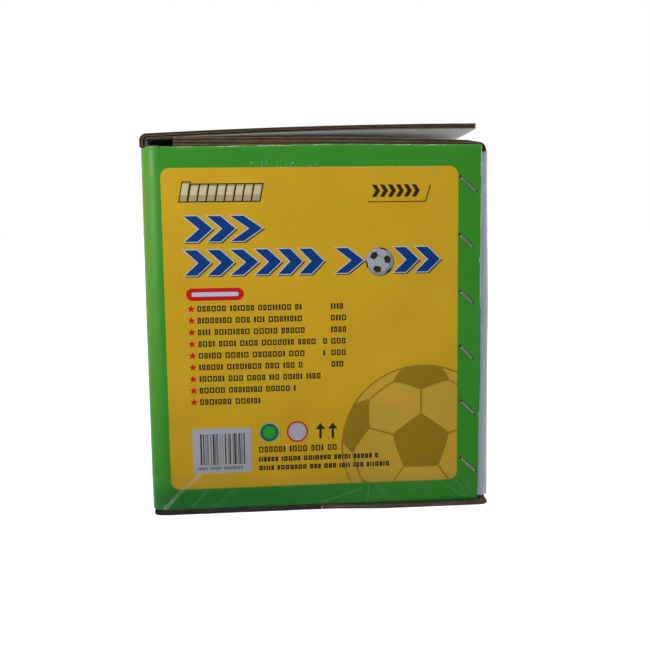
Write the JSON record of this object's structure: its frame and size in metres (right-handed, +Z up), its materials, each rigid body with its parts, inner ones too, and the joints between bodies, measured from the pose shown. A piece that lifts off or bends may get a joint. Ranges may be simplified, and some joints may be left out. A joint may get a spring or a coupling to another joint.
{
  "type": "sports goal kit in a carton",
  "caption": "Long stitched and taped carton of double-wall board with a hinged top lid, packed with a sports goal as a kit of poles, stakes, net and clips.",
  "frame": {"origin": "middle of the carton's underside, on the surface that it stands on", "axes": "+X to the right across the end panel, +Y from the near end to the far end along the carton, +Z up"},
  "size_m": [0.2288, 0.9846, 0.2593],
  "materials": {
    "printed_board": "green and yellow print under a thin gloss varnish on white-lined board",
    "white_board": "unprinted white liner, brown flutes at the cut edges",
    "clear_tape": "clear packing film, glossy and wrinkled",
    "staple_wire": "flat galvanised stitching wire",
    "pole_plastic": "white extruded plastic tube, satin",
    "stake_steel": "zinc plated round rod",
    "net_cord": "knotted white polyethylene cord",
    "clip_bag": "clear bag holding small plastic net clips"
  },
  "bodies": {
    "carton": {"near_end_panel": "printed_board", "far_end_panel": "printed_board", "left_side_wall": "printed_board", "right_side_wall": "white_board", "joint_flap": "white_board", "near_end_top_flap": "printed_board", "far_end_top_flap": "printed_board", "near_end_bottom_flap": "printed_board", "far_end_bottom_flap": "printed_board", "left_bottom_flap": "printed_board", "right_bottom_flap": "printed_board", "bottom_seam_tape": "clear_tape", "near_end_edge_tape": "clear_tape", "far_end_edge_tape": "clear_tape", "staple_1": "staple_wire", "staple_2": "staple_wire", "staple_3": "staple_wire", "staple_4": "staple_wire", "staple_5": "staple_wire", "staple_6": "staple_wire", "large_pole_long_1": "pole_plastic", "small_pole_long_1": "pole_plastic", "large_pole_medium_1": "pole_plastic", "large_pole_long_2": "pole_plastic", "small_pole_long_2": "pole_plastic", "large_pole_medium_2": "pole_plastic", "large_pole_long_3": "pole_plastic", "small_pole_long_3": "pole_plastic", "large_pole_medium_3": "pole_plastic", "large_pole_long_4": "pole_plastic", "small_pole_long_4": "pole_plastic", "large_pole_medium_4": "pole_plastic", "small_pole_medium_1": "pole_plastic", "small_pole_medium_2": "pole_plastic", "small_pole_medium_3": "pole_plastic", "large_pole_medium_5": "pole_plastic", "large_pole_medium_6": "pole_plastic", "large_pole_short_1": "pole_plastic", "small_pole_short_1": "pole_plastic", "large_pole_short_2": "pole_plastic", "small_pole_short_2": "pole_plastic", "ground_stake_1": "stake_steel", "ground_stake_2": "stake_steel", "ground_stake_3": "stake_steel", "ground_stake_4": "stake_steel", "ground_stake_5": "stake_steel", "ground_stake_6": "stake_steel", "folded_net": "net_cord", "net_clip_bag": "clip_bag"},
    "outer_lid": {"outer_lid_flap": "printed_board"},
    "inner_lid": {"inner_lid_flap": "white_board"}
  },
  "joints": [
    {"name": "outer_lid_hinge", "type": "hinge", "parent": "carton", "child": "outer_lid", "pos_m": [-0.1126, 0, 0.25182], "axis": [0, -1, 0], "range_deg": [-1.5, 200]},
    {"name": "inner_flap_hinge", "type": "hinge", "parent": "carton", "child": "inner_lid", "pos_m": [0.1131, 0, 0.24149], "axis": [0, 1, 0], "range_deg": [-0.14, 18]}
  ],
  "couplings": [
    {"joint": "inner_flap_hinge", "follows": "outer_lid_hinge", "ratio": 0.09}
  ]
}
